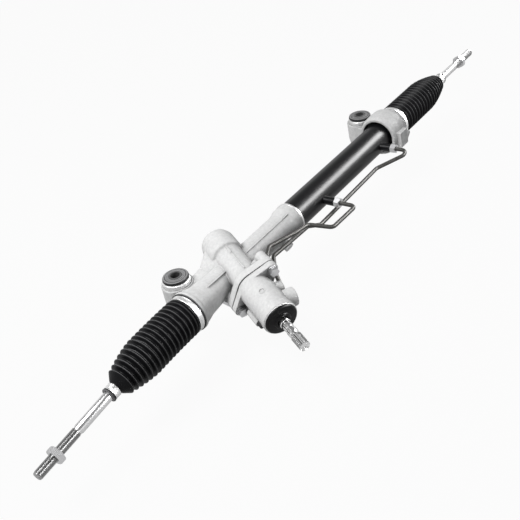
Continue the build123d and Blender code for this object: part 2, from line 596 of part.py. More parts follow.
def long_pipe():
    """Line from the far cylinder port, low along the cylinder and over the short one to the valve."""
    y, pin = RACK_Y, PIN_X
    return pipe([(PORT_X[1], y - 36, 0), (PORT_X[1], y - 83, 0), (PORT_X[1] - 50, y - 41, -13),
                 (COLLAR_X1 + 16, y - 44, -13), (COLLAR_X1 - 4, y - 34, -6), (pin + 56, y - 33, -2),
                 (pin + 32, y - 51, -9)] + port_line("long_pipe", 62, 25), PIPE_BEND)


def flare_nut(start, direction):
    """Hex flare nut whose shank enters the port at start, against direction."""
    d = Vector(*direction).normalized()
    frame = Plane(origin=Vector(*start), z_dir=d)
    nut = extrude(RegularPolygon(14 / sqrt(3), 6), 9) + Pos(0, 0, -9) * Cylinder(4.9, 9, align=STAND)
    return frame.location * (nut - Cylinder(PIPE_R + 0.03, 60))


def flare_nuts():
    nuts = [flare_nut((x, RACK_Y - STUB_REACH, 0), (0, -1, 0)) for x in PORT_X]
    for name in ("short_pipe", "long_pipe"):
        a, t, _, reach, _ = PORTS[name]
        d = E * cos(radians(a)) + G * sin(radians(a))
        nuts.append(flare_nut(pin_point(reach * cos(radians(a)), reach * sin(radians(a)), t), d))
    return Compound(children=nuts)


def flange_bolts():
    bolts = []
    for k in (1, -1):
        foot = PIN.location * Pos(k * BOLT_AT, k * BOLT_AT, SPLIT_T + 10)
        head = extrude(RegularPolygon(13 / sqrt(3), 6), 7.5) + extrude(Circle(8.2), 1.6)
        shank = Pos(0, 0, -30) * Cylinder(BOLT_D / 2 - 0.02, 30, align=STAND)
        bolts.append(foot * (head + shank))
    return Compound(children=bolts)


os.makedirs("parts", exist_ok=True)
PARTS = {
    "rack_housing": rack_housing, "valve_housing": valve_housing, "end_bracket": end_bracket,
    "cylinder_tube": cylinder_tube,
    "port_stubs": lambda: Compound(children=[port_stub(x) for x in PORT_X]),
    "left_bush_rubber": lambda: bush_rubber(0), "left_bush_shell": lambda: bush_shell(0),
    "left_bush_sleeve": lambda: bush_sleeve(0), "right_bush_rubber": lambda: bush_rubber(BUSH_R_X),
    "right_bush_shell": lambda: bush_shell(BUSH_R_X), "right_bush_sleeve": lambda: bush_sleeve(BUSH_R_X),
    "flange_bolts": flange_bolts,
    "flange_seal": lambda: ring_t(SPLIT_T - 1.95, SPLIT_T, 24.55, 22.85),
    "valve_plug": lambda: rod_t(*PLUG, 99, 106, 3.48) + rod_t(*PLUG, 106, 113, 4.6),
    "dust_cover": dust_cover,
    "cover_ring": lambda: ring_t(BARREL_END + 3, BARREL_END + 4.2, BARREL_R + 0.6, BARREL_R - 0.55),
    "input_oil_seal": lambda: ring_t(122.5, BARREL_END - 0.5, 15, SHAFT_R + 0.03),
    "input_needle_bearing": lambda: ring_t(112, 122, 13, SHAFT_R + RUN),
    "pinion_bearing_outer": bearing_outer, "pinion_bearing_rollers": bearing_rollers,
    "pinion_bearing_inner": bearing_inner,
    "pinion_needle_bush": lambda: ring_t(JOURNAL_T, -28, 9, JOURNAL_R + RUN),
    "pinion": pinion, "torsion_bar": torsion_bar, "torsion_bar_pin": cross_pin,
    "valve_sleeve": valve_sleeve, "sleeve_rings": sleeve_rings, "input_shaft": input_shaft,
    "rack_guide": rack_guide, "guide_springs": guide_springs, "guide_cap": guide_cap, "guide_nut": guide_nut,
    "rack_bar": rack_bar, "piston": piston,
    "piston_ring": lambda: tube_x(PISTON_X - RING_W / 2, PISTON_X + RING_W / 2, CYL_BORE - 0.02, RING_IN),
    "rack_bush": lambda: tube_x(LIP_L + 8, LIP_L + 22, TUBE_BORE, RACK_RAD + RUN),
    "inner_bushing": lambda: tube_x(CYL_X0, CYL_X0 + 22, CYL_BORE, RACK_RAD + RUN),
    "inner_seal": lambda: tube_x(CYL_X0 + 22, CYL_X0 + 22 + SEAL_W, CYL_BORE, RACK_RAD + 0.03),
    "outer_seal": lambda: tube_x(CYL_X1 - 21 - SEAL_W, CYL_X1 - 21, CYL_BORE, RACK_RAD + 0.03),
    "end_stopper": lambda: tube_x(CYL_X1 - 21, CYL_X1, CYL_BORE, RACK_RAD + RUN),
    "short_pipe": short_pipe, "long_pipe": long_pipe, "flare_nuts": flare_nuts,
}
for side, tag, tilt, nut in ((-1, "left", DROOP, NUT_L), (1, "right", 0.0, NUT_R)):
    PARTS[f"{tag}_socket"] = lambda side=side: place(side) * socket()
    PARTS[f"{tag}_ball_seat"] = lambda side=side: place(side) * ball_seat()
    PARTS[f"{tag}_lock_washer"] = lambda side=side: place(side) * lock_washer()
    PARTS[f"{tag}_tie_rod"] = lambda side=side, tilt=tilt, nut=nut: place(side, tilt) * tie_rod(nut)
    PARTS[f"{tag}_jam_nut"] = lambda side=side, tilt=tilt, nut=nut: place(side, tilt) * jam_nut(nut)
    PARTS[f"{tag}_boot"] = lambda side=side: boot(side)
    PARTS[f"{tag}_big_clamp"] = lambda side=side: big_clamp(side)
    PARTS[f"{tag}_small_clamp"] = lambda side=side: small_clamp(side)
for name, make in PARTS.items():
    export(name, make())
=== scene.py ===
import json
from math import atan2, cos, hypot, pi, radians, sin, tan

import bmesh
import bpy
from mathutils import Matrix, Vector
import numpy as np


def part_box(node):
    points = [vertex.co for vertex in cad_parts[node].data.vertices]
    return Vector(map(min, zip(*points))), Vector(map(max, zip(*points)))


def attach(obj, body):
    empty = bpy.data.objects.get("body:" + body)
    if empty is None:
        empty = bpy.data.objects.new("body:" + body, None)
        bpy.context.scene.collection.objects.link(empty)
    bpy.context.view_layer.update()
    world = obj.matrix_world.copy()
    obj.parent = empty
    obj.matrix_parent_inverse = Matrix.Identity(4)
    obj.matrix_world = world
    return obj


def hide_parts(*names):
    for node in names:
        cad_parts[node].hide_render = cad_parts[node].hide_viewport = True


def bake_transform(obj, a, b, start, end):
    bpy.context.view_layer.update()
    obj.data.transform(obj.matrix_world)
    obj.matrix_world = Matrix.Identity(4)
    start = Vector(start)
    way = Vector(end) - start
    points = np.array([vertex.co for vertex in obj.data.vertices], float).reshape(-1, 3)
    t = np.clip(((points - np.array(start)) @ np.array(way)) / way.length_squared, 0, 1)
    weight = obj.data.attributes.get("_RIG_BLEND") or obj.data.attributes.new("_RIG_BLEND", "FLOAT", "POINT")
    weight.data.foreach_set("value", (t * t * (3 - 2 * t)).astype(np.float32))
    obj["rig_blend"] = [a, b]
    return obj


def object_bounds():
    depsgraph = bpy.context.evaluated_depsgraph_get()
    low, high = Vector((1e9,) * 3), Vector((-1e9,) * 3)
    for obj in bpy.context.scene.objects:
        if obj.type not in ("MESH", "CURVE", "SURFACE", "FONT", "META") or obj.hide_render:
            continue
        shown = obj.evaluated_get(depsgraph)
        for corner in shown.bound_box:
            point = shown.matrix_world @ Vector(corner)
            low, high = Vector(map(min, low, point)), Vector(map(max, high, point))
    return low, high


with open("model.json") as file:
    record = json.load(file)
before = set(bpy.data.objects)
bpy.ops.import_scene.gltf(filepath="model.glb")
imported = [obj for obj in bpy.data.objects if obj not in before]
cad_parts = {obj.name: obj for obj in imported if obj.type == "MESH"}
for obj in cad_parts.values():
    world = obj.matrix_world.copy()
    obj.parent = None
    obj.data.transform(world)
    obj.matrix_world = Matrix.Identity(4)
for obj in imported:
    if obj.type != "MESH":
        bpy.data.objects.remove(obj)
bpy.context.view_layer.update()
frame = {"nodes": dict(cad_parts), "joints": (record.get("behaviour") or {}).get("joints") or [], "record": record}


# ---- Castings ----
# The rack housing, the valve housing on its slanted flange and the cylinder's end bracket are die castings
# in aluminium. They are shot-blasted all over, so the skin is pale, even and slightly pebbled.

MM = 0.001
CAST_SKIN = (0.84, 0.84, 0.835, 1)
CAST_SHADE = (0.58, 0.58, 0.58, 1)
CREASE_REACH = 12 * MM      # painted shade: walls nearer each other than this darken the colour of the corner between them
SMOOTHINGS = 3              # rounds that soften a casting's corners


def surface_detail():
    """Node group for a skin with two colours in patches, painted shade in creases, uneven roughness and a fine
    grain.
    """
    group = bpy.data.node_groups.new("surface_detail", "ShaderNodeTree")
    for name, kind in (("Colour", "Color"), ("Shade", "Color"), ("Patch Scale", "Float"),
                       ("Crease Shade", "Float"), ("Grain Scale", "Float"), ("Grain Depth", "Float"),
                       ("Rough Low", "Float"), ("Rough High", "Float")):
        group.interface.new_socket(name, in_out="INPUT", socket_type="NodeSocket" + kind)
    for name, kind in (("Colour", "Color"), ("Roughness", "Float"), ("Normal", "Vector")):
        group.interface.new_socket(name, in_out="OUTPUT", socket_type="NodeSocket" + kind)
    nodes, links = group.nodes, group.links
    given, made = nodes.new("NodeGroupInput"), nodes.new("NodeGroupOutput")
    place = nodes.new("ShaderNodeTexCoord")
    patches, grain = nodes.new("ShaderNodeTexNoise"), nodes.new("ShaderNodeTexNoise")
    patches.inputs["Detail"].default_value = 5
    grain.inputs["Detail"].default_value = 3
    tint, painted_shade = nodes.new("ShaderNodeMix"), nodes.new("ShaderNodeMix")
    tint.data_type = painted_shade.data_type = "RGBA"
    painted_shade.blend_type = "MULTIPLY"
    rough, bump = nodes.new("ShaderNodeMapRange"), nodes.new("ShaderNodeBump")
    bump.inputs["Strength"].default_value = 1
    # Painted shade: ambient occlusion darkens the colour in creases and corners, where shade falls
    hollow = nodes.new("ShaderNodeAmbientOcclusion")
    hollow.inputs["Distance"].default_value = CREASE_REACH
    hollow.samples = 6
    for source, target in ((place.outputs["Object"], patches.inputs["Vector"]),
                           (place.outputs["Object"], grain.inputs["Vector"]),
                           (given.outputs["Patch Scale"], patches.inputs["Scale"]),
                           (given.outputs["Grain Scale"], grain.inputs["Scale"]),
                           (patches.outputs["Fac"], tint.inputs["Factor"]),
                           (given.outputs["Colour"], tint.inputs["A"]),
                           (given.outputs["Shade"], tint.inputs["B"]),
                           (patches.outputs["Fac"], rough.inputs["Value"]),
                           (given.outputs["Rough Low"], rough.inputs["To Min"]),
                           (given.outputs["Rough High"], rough.inputs["To Max"]),
                           (grain.outputs["Fac"], bump.inputs["Height"]),
                           (given.outputs["Grain Depth"], bump.inputs["Distance"]),
                           (given.outputs["Crease Shade"], painted_shade.inputs["Factor"]),
                           (tint.outputs["Result"], painted_shade.inputs["A"]),
                           (hollow.outputs["Color"], painted_shade.inputs["B"]),
                           (painted_shade.outputs["Result"], made.inputs["Colour"]),
                           (rough.outputs["Result"], made.inputs["Roughness"]),
                           (bump.outputs["Normal"], made.inputs["Normal"])):
        links.new(source, target)
    return group


detail_group = surface_detail()


def finish(name, colour, shade, rough, patch, grain, depth, metallic=0.0, gloss=0.5, crease_shade=0.0):
    """A material on the surface_detail group; rough is (low, high), patch and grain are per metre."""
    material = bpy.data.materials.new(name)
    material.use_nodes = True
    nodes, links = material.node_tree.nodes, material.node_tree.links
    shader = nodes["Principled BSDF"]
    shader.inputs["Metallic"].default_value = metallic
    shader.inputs["Specular IOR Level"].default_value = gloss
    skin = nodes.new("ShaderNodeGroup")
    skin.node_tree = detail_group
    for socket, value in (("Colour", colour), ("Shade", shade), ("Patch Scale", patch),
                          ("Crease Shade", crease_shade), ("Grain Scale", grain), ("Grain Depth", depth),
                          ("Rough Low", rough[0]), ("Rough High", rough[1])):
        skin.inputs[socket].default_value = value
    for output, socket in (("Colour", "Base Color"), ("Roughness", "Roughness"), ("Normal", "Normal")):
        links.new(skin.outputs[output], shader.inputs[socket])
    return material


def copy_of(node):
    """A merged bmesh of a CAD node, whose own mesh is loose triangles."""
    bm = bmesh.new()
    bm.from_mesh(frame["nodes"][node].data)
    bmesh.ops.remove_doubles(bm, verts=bm.verts, dist=1e-6)
    return bm


def add_piece(name, bm, material, body, slot, *nodes, sharp=32):
    """Makes a bmesh an object that rides on a body and stands for those CAD nodes."""
    mesh = bpy.data.meshes.new(name)
    bm.to_mesh(mesh)
    bm.free()
    for extra in [a.name for a in mesh.attributes if a.name.startswith("custom_normal")]:
        mesh.attributes.remove(mesh.attributes[extra])
    mesh.polygons.foreach_set("use_smooth", [True] * len(mesh.polygons))
    mesh.set_sharp_from_angle(angle=radians(sharp))
    mesh.materials.clear()
    mesh.materials.append(material)
    piece = bpy.data.objects.new(name, mesh)
    bpy.context.scene.collection.objects.link(piece)
    if body:
        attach(piece, body)
    if nodes:
        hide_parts(*nodes)
    return piece


def cast(name, node, voxel, share):
    """Gives a casting's CAD form the soft corners that a die leaves, then thins its flat stretches."""
    bm = copy_of(node)
    raw = bpy.data.meshes.new("raw")
    bm.to_mesh(raw)
    bm.free()
    blank = bpy.data.objects.new("blank", raw)
    bpy.context.scene.collection.objects.link(blank)
    remesh = blank.modifiers.new("skin", "REMESH")
    remesh.mode = "VOXEL"
    remesh.voxel_size = voxel
    soft = blank.modifiers.new("soft", "SMOOTH")
    soft.factor = 0.5
    soft.iterations = SMOOTHINGS
    lean = blank.modifiers.new("lean", "DECIMATE")
    lean.ratio = share
    shaped = blank.evaluated_get(bpy.context.evaluated_depsgraph_get())
    bm = bmesh.new()
    bm.from_mesh(shaped.to_mesh())
    bpy.data.objects.remove(blank)
    return add_piece(name, bm, cast_aluminium, "housing", "cast_aluminium", node, sharp=60)


# Painted shade: the castings' colour is darkened in creases and corners, where shade falls
cast_aluminium = finish("cast_aluminium", CAST_SKIN, CAST_SHADE, (0.42, 0.58), 230, 650, 0.3 * MM,
                        gloss=0.12, crease_shade=1.0)
for name, node, voxel, share in (("rack_casting", "rack_housing", 0.75 * MM, 0.32),
                                 ("valve_casting", "valve_housing", 0.6 * MM, 0.4),
                                 ("bracket_casting", "end_bracket", 0.65 * MM, 0.35)):
    cast(name, node, voxel, share)


# ---- Joint flange ----
# The two castings meet on a slanted oval flange. A thin dark gasket shows all round between them, and two
# flanged bolts hold the joint.

SPIN = next(joint for joint in frame["joints"] if joint["name"] == "pinion_spin")
UP_SHAFT = Vector(SPIN["axis"])
OFF_RACK = Vector((0, UP_SHAFT.z, -UP_SHAFT.y)).normalized()
# The tower's own axes: z runs up the shaft, and y stands square to it and to the rack
TOWER = (Matrix.Translation(SPIN["pos_m"])
         @ Matrix((OFF_RACK.cross(UP_SHAFT), OFF_RACK, UP_SHAFT)).transposed().to_4x4())
SPLIT_T, FLANGE_R = 60.0, 25.9      # the joint's height up the shaft, and the radius round the shaft
BOLT_AT, LOBE_R = 25.81, 9.5        # a bolt's place along the tower's x and y, and the radius round it
GASKET, PROUD = 0.9, 0.12           # thickness, and how far the gasket stands out

gasket_paper = finish("gasket_paper", (0.03, 0.03, 0.032, 1), (0.05, 0.05, 0.05, 1), (0.6, 0.8),
                      90, 1200, 0.05 * MM)
bm = bmesh.new()
for x, y, r in ((0, 0, FLANGE_R), (BOLT_AT, BOLT_AT, LOBE_R), (-BOLT_AT, -BOLT_AT, LOBE_R)):
    disc = bmesh.ops.create_cone(bm, segments=72, radius1=(r + PROUD) * MM, radius2=(r + PROUD) * MM,
                                 depth=GASKET * MM, cap_ends=True)["verts"]
    bmesh.ops.translate(bm, verts=disc, vec=Vector((x, y, SPLIT_T)) * MM)
hull = bmesh.ops.convex_hull(bm, input=bm.verts)
bmesh.ops.delete(bm, geom=list({*hull["geom_interior"], *hull["geom_unused"]}), context="VERTS")
bmesh.ops.delete(bm, geom=[face for face in bm.faces if face not in hull["geom"]], context="FACES_ONLY")
bm.transform(TOWER)
bmesh.ops.recalc_face_normals(bm, faces=bm.faces)
add_piece("flange_gasket", bm, gasket_paper, "housing", "seal_rubber")


# ---- Parting lines ----
# Where the die's halves met, a fine raised line is left along the rack tube and up the pinion's neck.

RACK_Y = -47.0
FLASH_W, FLASH_H, FLASH_ROUND = 2.0, 3.0, 0.35     # width, height with the buried root, rounded edges
PARTING, NECK_PARTING = radians(28), radians(98)    # about the rack, and about the tower


def flash_line(name, first, last, up):
    """Raised line from first to last whose crown points up."""
    bm = bmesh.new()
    bmesh.ops.create_cube(bm, size=1)
    bmesh.ops.scale(bm, verts=bm.verts, vec=((last - first).length, FLASH_W * MM, FLASH_H * MM))
    bmesh.ops.bevel(bm, geom=bm.edges[:], offset=FLASH_ROUND * MM, offset_type="OFFSET", segments=3,
                    profile=0.5, affect="EDGES", material=-1)
    along = (last - first).normalized()
    side = up.cross(along).normalized()
    bm.transform(Matrix.Translation((first + last) / 2)
                 @ Matrix((along, side, along.cross(side))).transposed().to_4x4())
    add_piece(name, bm, cast_aluminium, "housing", "cast_aluminium")


# Each row gives the line's two ends, as a place along the rack or the tower and a radius from its middle
away = Vector((0, -sin(PARTING), cos(PARTING)))
for name, x0, r0, x1, r1 in (("near_flash", 2, 25.0, 44, 23.2), ("tube_flash", 82, 21.9, 188, 21.7),
                             ("collar_flash", 190, 22.0, 200, 25.2)):
    first, last = ((Vector((x, RACK_Y, 0)) + away * r) * MM for x, r in ((x0, r0), (x1, r1)))
    flash_line(name, first, last, away)
away = Vector((cos(NECK_PARTING), sin(NECK_PARTING), 0))
for name, t0, t1, r in (("neck_flash", -14, 42, 21.6), ("neck_pad_flash", -6, 3, 22.6)):
    first, last = (TOWER @ ((away * r + Vector((0, 0, t))) * MM) for t in (t0, t1))
    flash_line(name, first, last, TOWER.to_3x3() @ away)


# ---- Cylinder ----
# A drawn steel tube with two welded port stubs, pressed into the castings at both ends. It is painted a
# smooth gloss black over the bare steel.

tube_paint = finish("tube_paint", (0.005, 0.005, 0.006, 1), (0.008, 0.008, 0.009, 1), (0.27, 0.33),
                    30, 160, 0.0, gloss=0.3)
for node in ("cylinder_tube", "port_stubs"):
    add_piece(node + "_painted", copy_of(node), tube_paint, "housing", "black_tube", node)


# ---- Machined rims ----
# The collar that holds the cylinder has a turned lip, and the lug for the line clip is faced and tapped. The
# valve barrel keeps the round mark of one of the die's ejector pins.

COLLAR_END, LIP_BORE, LIP_R, LIP_LEN = 220.0, 24.4, 26.6, 3.5
LUG_X, LUG_DOWN, LUG_FACE, LUG_R, LUG_HOLE = 172.0, radians(35), 34.0, 7.0, 3.5
BARREL_R, MARK_TURN, MARK_T, MARK_R, PIN_R = 25.0, radians(106), 97.0, 4.6, 3.5
machined = finish("machined_aluminium", (0.93, 0.93, 0.93, 1), (0.86, 0.86, 0.86, 1), (0.24, 0.32),
                  120, 900, 0.002 * MM, metallic=0.6)
bore_shade = finish("bore_shade", (0.03, 0.03, 0.03, 1), (0.05, 0.05, 0.05, 1), (0.5, 0.6),
                    90, 900, 0.01 * MM)


def turned(outline, axis, steps=96):
    """Spins a closed outline of (radius, height) points in mm round X or Z into a closed solid."""
    along = {"X": Vector((1, 0, 0)), "Z": Vector((0, 0, 1))}[axis]
    out = {"X": Vector((0, 0, 1)), "Z": Vector((1, 0, 0))}[axis]
    bm = bmesh.new()
    corners = [bm.verts.new((out * r + along * h) * MM) for r, h in outline]
    for a, b in zip(corners, corners[1:] + corners[:1]):
        bm.edges.new((a, b))
    bmesh.ops.spin(bm, geom=bm.verts[:] + bm.edges[:], cent=(0, 0, 0), axis=along, dvec=(0, 0, 0),
                   angle=2 * pi, steps=steps, use_merge=True)
    bmesh.ops.remove_doubles(bm, verts=bm.verts, dist=1e-7)
    bmesh.ops.recalc_face_normals(bm, faces=bm.faces)
    return bm


def standing(point, way):
    """Matrix that stands a shape drawn round Z on a point in mm, with its top towards way."""
    return Matrix.Translation(point * MM) @ way.to_track_quat("Z", "X").to_matrix().to_4x4()


lip_end = COLLAR_END + 0.1
lip_start = lip_end - LIP_LEN
lip = turned([(LIP_BORE, lip_start), (LIP_R - 0.3, lip_start), (LIP_R, lip_start + 0.3),
              (LIP_R, lip_end - 0.4), (LIP_R - 0.4, lip_end), (LIP_BORE, lip_end)], "X", 128)
bmesh.ops.translate(lip, verts=lip.verts, vec=(0, RACK_Y * MM, 0))
add_piece("collar_lip", lip, machined, "housing", "cast_aluminium")

down = Vector((0, -cos(LUG_DOWN), -sin(LUG_DOWN)))
for name, outline, material in (
        ("lug_face", [(LUG_HOLE, -0.6), (LUG_R, -0.6), (LUG_R, 0.0), (LUG_R - 0.4, 0.3),
                      (LUG_HOLE + 0.4, 0.3), (LUG_HOLE, 0.1)], machined),
        ("lug_bore", [(0.0, -3.0), (LUG_HOLE + 0.1, -3.0), (LUG_HOLE + 0.1, -2.6), (0.0, -2.6)],
         bore_shade)):
    bm = turned(outline, "Z", 48)
    bm.transform(standing(Vector((LUG_X, RACK_Y, 0)) + down * LUG_FACE, down))
    add_piece(name, bm, material, "housing", "cast_aluminium")

outward = Vector((cos(MARK_TURN), sin(MARK_TURN), 0))
mark = turned([(PIN_R, -0.9), (MARK_R, -0.9), (MARK_R, -0.1), (MARK_R - 0.3, 0.3), (PIN_R + 0.3, 0.3),
               (PIN_R, -0.1)], "Z", 48)
mark.transform(TOWER @ standing(outward * BARREL_R + Vector((0, 0, MARK_T)), outward))
add_piece("ejector_mark", mark, cast_aluminium, "housing", "cast_aluminium")


# ---- Mounting bushes ----
# Each ear holds a rubber bush round a steel sleeve, in a thin steel shell whose rim shows under the rubber's
# head. The head is moulded with two shallow rings, and the sleeve is phosphated dark.

BUSH_X = {"left": 0.0, "right": 520 * MM}
SLEEVE_R, RUBBER_R, SHELL_R = 10.0, 16.0, 17.5      # outsides of sleeve, rubber and shell, each in the next
EAR_LOW, EAR_TOP = -32.0, 15.0
RIM_R, RIM_TOP, HEAD_R, FOOT_R = 20.8, 22.1, 19.7, 18.2     # the shell's rim; the rubber's head and foot
# The rings as (radius, height over the head's face)
HEAD_RINGS = ((12.2, 0.0), (12.6, -0.3), (13.2, 0.0), (15.2, 0.0), (15.6, -0.6), (16.2, 0.0))


def tinted(material, facts, output, low, high, colour):
    """Mixes a colour into a finish where the output of a facts node rises from low to high."""
    nodes, links = material.node_tree.nodes, material.node_tree.links
    source, reach, mix = nodes.new(facts), nodes.new("ShaderNodeMapRange"), nodes.new("ShaderNodeMix")
    mix.data_type = "RGBA"
    mix.inputs["B"].default_value = colour
    reach.inputs["From Min"].default_value = low
    reach.inputs["From Max"].default_value = high
    fact = source.outputs[output]
    if fact.type == "VECTOR":
        height = nodes.new("ShaderNodeSeparateXYZ")
        links.new(fact, height.inputs[0])
        fact = height.outputs["Z"]
    skin = next(node for node in nodes if node.type == "GROUP")
    links.new(fact, reach.inputs["Value"])
    links.new(reach.outputs["Result"], mix.inputs["Factor"])
    links.new(skin.outputs["Colour"], mix.inputs["A"])
    links.new(mix.outputs["Result"], nodes["Principled BSDF"].inputs["Base Color"])


bush_rubber = finish("bush_rubber", (0.012, 0.012, 0.013, 1), (0.02, 0.02, 0.021, 1), (0.4, 0.6),
                     90, 1400, 0.05 * MM, gloss=0.3)
tinted(bush_rubber, "ShaderNodeTexCoord", "Normal", 0.6, 0.97, (0.24, 0.24, 0.243, 1))  # painted light: faces that turn upwards are lighter grey
bush_steel = finish("bush_steel", (0.84, 0.84, 0.84, 1), (0.74, 0.74, 0.74, 1), (0.42, 0.54),
                    120, 1200, 0.004 * MM, metallic=0.7)
sleeve_steel = finish("sleeve_steel", (0.12, 0.12, 0.122, 1), (0.17, 0.17, 0.17, 1), (0.35, 0.5),
                      120, 1200, 0.01 * MM, metallic=0.6)
for side in ("left", "right"):
    rubber = side + "_bush_rubber"
    foot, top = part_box(rubber)[0][2] / MM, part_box(rubber)[1][2] / MM
    face = top - 0.2
    head = [(r, face + height) for r, height in HEAD_RINGS]
    bm = turned([(SLEEVE_R, foot), (RUBBER_R + 0.2, foot), (FOOT_R, foot + 2), (FOOT_R, EAR_LOW - 0.2),
                 (RUBBER_R, EAR_LOW), (RUBBER_R, RIM_TOP + 0.1), (HEAD_R - 1.5, RIM_TOP + 0.1),
                 (HEAD_R - 0.5, RIM_TOP + 0.5), (HEAD_R, RIM_TOP + 1.5), (HEAD_R - 0.2, top - 1.8),
                 (HEAD_R - 0.8, top - 0.7), (HEAD_R - 1.9, face)]
                + head[::-1] + [(SLEEVE_R + 0.3, face), (SLEEVE_R, top)], "Z")
    bmesh.ops.translate(bm, verts=bm.verts, vec=(BUSH_X[side], 0, 0))
    add_piece(rubber + "_moulded", bm, bush_rubber, "housing", "bush_rubber", rubber)
    bm = turned([(RUBBER_R, EAR_LOW + 8), (SHELL_R, EAR_LOW + 8), (SHELL_R, EAR_TOP),
                 (RIM_R - 0.5, EAR_TOP), (RIM_R, EAR_TOP + 0.6), (RIM_R, RIM_TOP - 1.5),
                 (RIM_R - 0.6, RIM_TOP - 0.7), (RIM_R - 1.6, RIM_TOP - 0.3), (RIM_R - 2.6, RIM_TOP),
                 (RUBBER_R, RIM_TOP)], "Z")
    bmesh.ops.translate(bm, verts=bm.verts, vec=(BUSH_X[side], 0, 0))
    add_piece(side + "_bush_shell_turned", bm, bush_steel, "housing", "bush_steel", side + "_bush_shell")
    add_piece(side + "_bush_sleeve_turned", copy_of(side + "_bush_sleeve"), sleeve_steel, "housing",
              "bush_steel", side + "_bush_sleeve")


# ---- Boots ----
# A moulded rubber bellows covers each inner ball joint. Its big end is clamped on the casting's spigot, and
# its cone ends in a cuff that sits in the tie rod's groove. Each is made in three lengths, parted in a valley
# between folds: the first follows the rack's slide and the other two the rod's swing.

SPIGOT_END = {"left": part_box("rack_housing")[0][0] / MM, "right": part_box("end_bracket")[1][0] / MM}
BALL_X = {joint["name"].split("_")[0]: joint["pos_m"][0] / MM for joint in frame["joints"]
          if joint["name"].endswith("_rod_sweep")}
BOOT_R, BOOT_WALL = 30.0, 1.3
FOLDS, FOLD_DEPTH, SHARPER = 16, 4.6, 1.4       # SHARPER deepens the folds where the boot draws in
FOLD_POINTS = 12                                # points that draw one fold
PLAIN, CONE, TAPERED = 3.5, 10.0, 6             # plain start, plain cone at the cuff, folds that draw in
SPIGOT, SPIGOT_FIT, SEAT_R, BEAD_R = 14.0, 26.1, 28.4, 31.2     # big end: length, bore, clamp's seat, bead
CUFF_AT, CUFF_LEN = 75.0, 15.0                  # ball's centre to the cuff, and the cuff's length
CUFF_FIT, CUFF_R, CUFF_BEAD = 6.95, 9.75, 11.0  # bore, clamp's seat, bead
# Per side: the way it points, the rod's droop, the last fold's radius, the two valleys it is parted in, and
# how far out from the ball its last bend ends
BOOT_SHAPE = {"left": {"out": -1, "droop": radians(7.3), "rim": 21.0, "slide": 9, "sweep": 11, "rise": 66},
              "right": {"out": 1, "droop": 0.0, "rim": 18.0, "slide": 11, "sweep": 12, "rise": 68}}
boot_rubber = finish("boot_rubber", (0.005, 0.005, 0.006, 1), (0.009, 0.009, 0.010, 1), (0.3, 0.4),
                     50, 1300, 0.004 * MM, gloss=0.1)
tinted(boot_rubber, "ShaderNodeNewGeometry", "Pointiness", 0.53, 0.6, (0.22, 0.22, 0.225, 1))   # painted highlight: the sharpest fold crests are lighter grey


def boot_reach(side):
    """Distance along the rack from the spigot's end to the cuff, and the cuff's height over the rack."""
    shape = BOOT_SHAPE[side]
    to_ball = (BALL_X[side] - SPIGOT_END[side]) * shape["out"]
    return to_ball + CUFF_AT * cos(shape["droop"]), -CUFF_AT * sin(shape["droop"])


def boot_length(side):
    """Straight distance from the spigot's end to the cuff."""
    return hypot(*boot_reach(side))


def boot_axis(side, s):
    """Point and lean of the boot's bent axis at distance s from the spigot's end, in mm and radians."""
    shape, length = BOOT_SHAPE[side], boot_length(side)
    reach, drop = boot_reach(side)
    slope = -tan(shape["droop"]) * reach
    t = min(max(s / length, 0.0), 1.0)
    lean = atan2((6 * t - 6 * t ** 2) * drop + (3 * t ** 2 - 2 * t) * slope, reach)
    past = s - t * length
    height = (3 * t ** 2 - 2 * t ** 3) * drop + (t ** 3 - t ** 2) * slope + past * sin(lean)
    along = SPIGOT_END[side] + shape["out"] * (t * reach + past * cos(lean))
    return Vector((along, RACK_Y, height)), lean


def fold_step(side):
    """Distance from one fold's crest to the next."""
    return (boot_length(side) - CONE - PLAIN) / FOLDS


def valley(side, number):
    """Distance from the spigot's end to the valley that follows a fold, the first fold being number 0."""
    return PLAIN + fold_step(side) * (number + 0.5)


